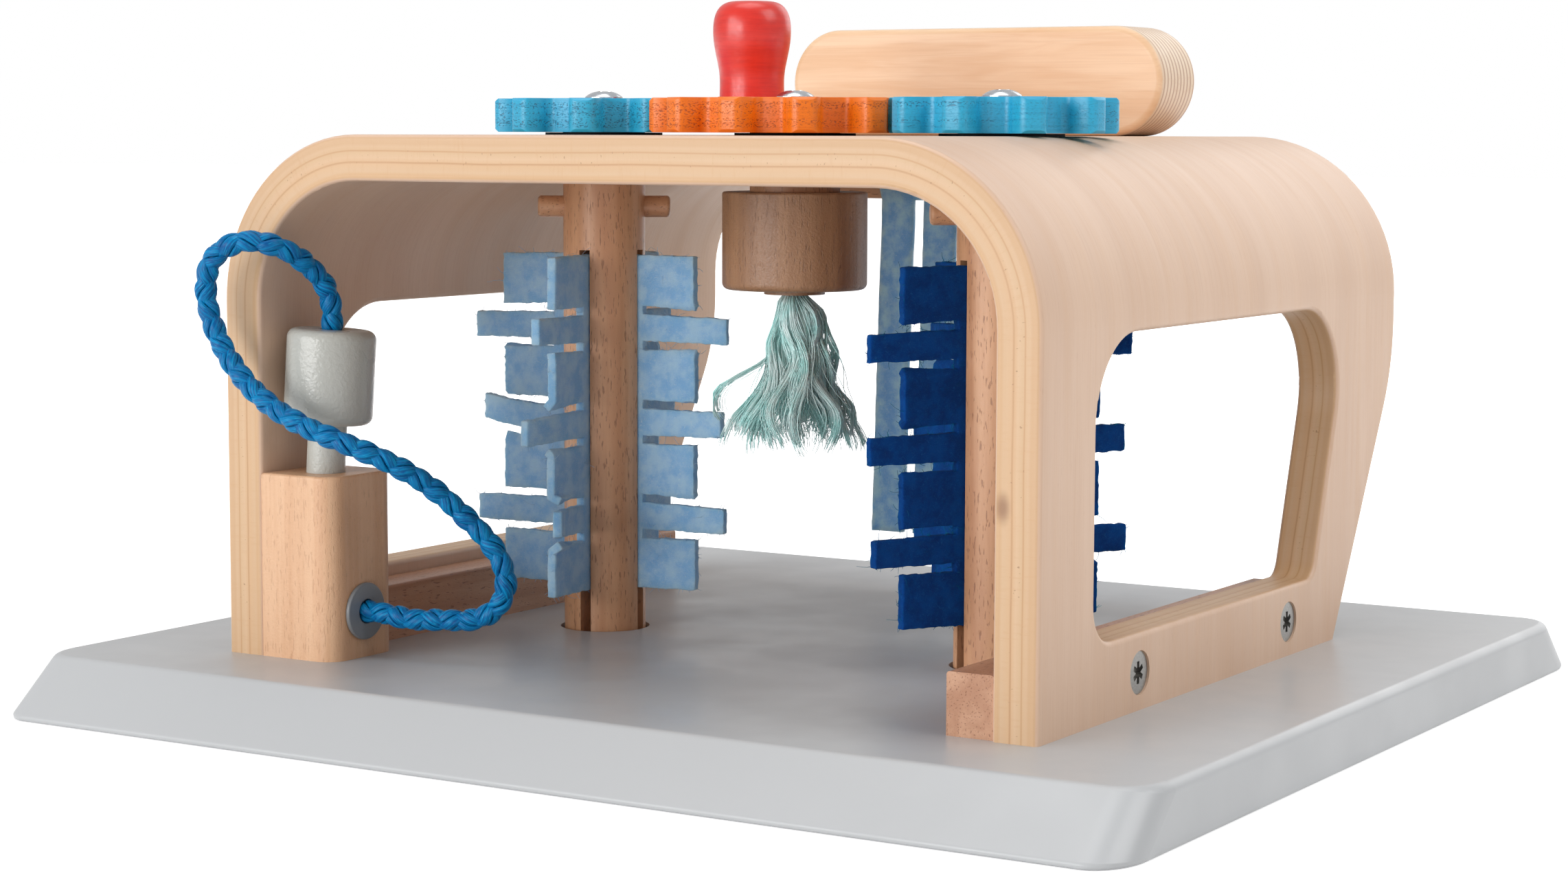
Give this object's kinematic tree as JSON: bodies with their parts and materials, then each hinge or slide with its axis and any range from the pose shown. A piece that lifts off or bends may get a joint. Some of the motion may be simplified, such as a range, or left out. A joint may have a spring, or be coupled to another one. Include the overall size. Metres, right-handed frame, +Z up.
{
  "type": "toy car wash playset",
  "caption": "Wooden toy car wash: plywood arch with windows on a ramped board, geared felt brushes, a mop, a strip curtain and a pump with rope and nozzle.",
  "frame": {"origin": "middle of the base board's underside, on the surface that the toy stands on", "axes": "+X across the arch to the right seen from its front, +Y from the front of the toy to its back, +Z up"},
  "size_m": [0.2, 0.1884, 0.1164],
  "materials": {
    "board_paint": "satin grey paint on board",
    "birch_ply": "clear satin lacquer on moulded birch plywood",
    "beech": "clear satin lacquer on beech",
    "blue_paint": "satin blue stain paint",
    "orange_paint": "satin orange stain paint",
    "red_paint": "satin red paint",
    "grey_paint": "satin grey paint",
    "light_felt": "light blue mottled felt",
    "navy_felt": "dark blue felt",
    "mint_yarn": "loose mint green yarn",
    "blue_rope": "braided blue polypropylene",
    "bright_screw": "bright plated",
    "plain_screw": "plain zinc",
    "washer": "black fibre"
  },
  "bodies": {
    "root": {"base_board": "board_paint", "board_screws": "plain_screw", "arch_shell": "birch_ply", "side_screws": "plain_screw", "left_batten": "beech", "right_batten": "beech", "roof_board": "birch_ply", "roof_board_screws": "plain_screw", "curtain_lath": "beech", "curtain_header": "light_felt", "gear_washers": "washer", "pump_block": "beech", "hose_grommet": "grey_paint", "hose_rope": "blue_rope"},
    "mop_turner": {"drive_gear": "orange_paint", "drive_gear_screw": "bright_screw", "drive_knob": "red_paint", "mop_shaft": "beech", "mop_drum": "beech", "mop_collar": "beech", "mop_yarn": "mint_yarn"},
    "left_brush": {"left_gear": "blue_paint", "left_gear_screw": "bright_screw", "left_brush_post": "beech", "left_cross_peg": "beech", "left_felt_a": "light_felt", "left_felt_b": "light_felt"},
    "right_brush": {"right_gear": "blue_paint", "right_gear_screw": "bright_screw", "right_brush_post": "beech", "right_cross_peg": "beech", "right_felt_a": "navy_felt", "right_felt_b": "navy_felt"},
    "nozzle": {"spray_nozzle": "grey_paint", "nozzle_peg": "grey_paint"},
    "curtain": {"curtain_strip_1": "light_felt", "curtain_strip_2": "light_felt", "curtain_strip_3": "light_felt", "curtain_strip_4": "light_felt", "curtain_strip_5": "light_felt"}
  },
  "joints": [
    {"name": "drive_spin", "type": "hinge", "parent": "root", "child": "mop_turner", "pos_m": [0, -0.01045, 0.094], "axis": [0, 0, 1], "continuous": true},
    {"name": "left_brush_spin", "type": "hinge", "parent": "root", "child": "left_brush", "pos_m": [-0.0383, -0.01045, 0.094], "axis": [0, 0, 1], "continuous": true},
    {"name": "right_brush_spin", "type": "hinge", "parent": "root", "child": "right_brush", "pos_m": [0.0383, -0.01045, 0.094], "axis": [0, 0, 1], "continuous": true},
    {"name": "nozzle_lift", "type": "slide", "parent": "root", "child": "nozzle", "axis": [0.0475, 0.0292, 0.9984], "range_m": [0, 0.01], "deforming": ["hose_rope"]},
    {"name": "curtain_swing", "type": "hinge", "parent": "root", "child": "curtain", "pos_m": [0, 0.05385, 0.0813], "axis": [1, 0, 0], "range_deg": [-30, 60]}
  ],
  "couplings": [
    {"joint": "left_brush_spin", "follows": "drive_spin", "ratio": -1.3333},
    {"joint": "right_brush_spin", "follows": "drive_spin", "ratio": -1.3333}
  ]
}
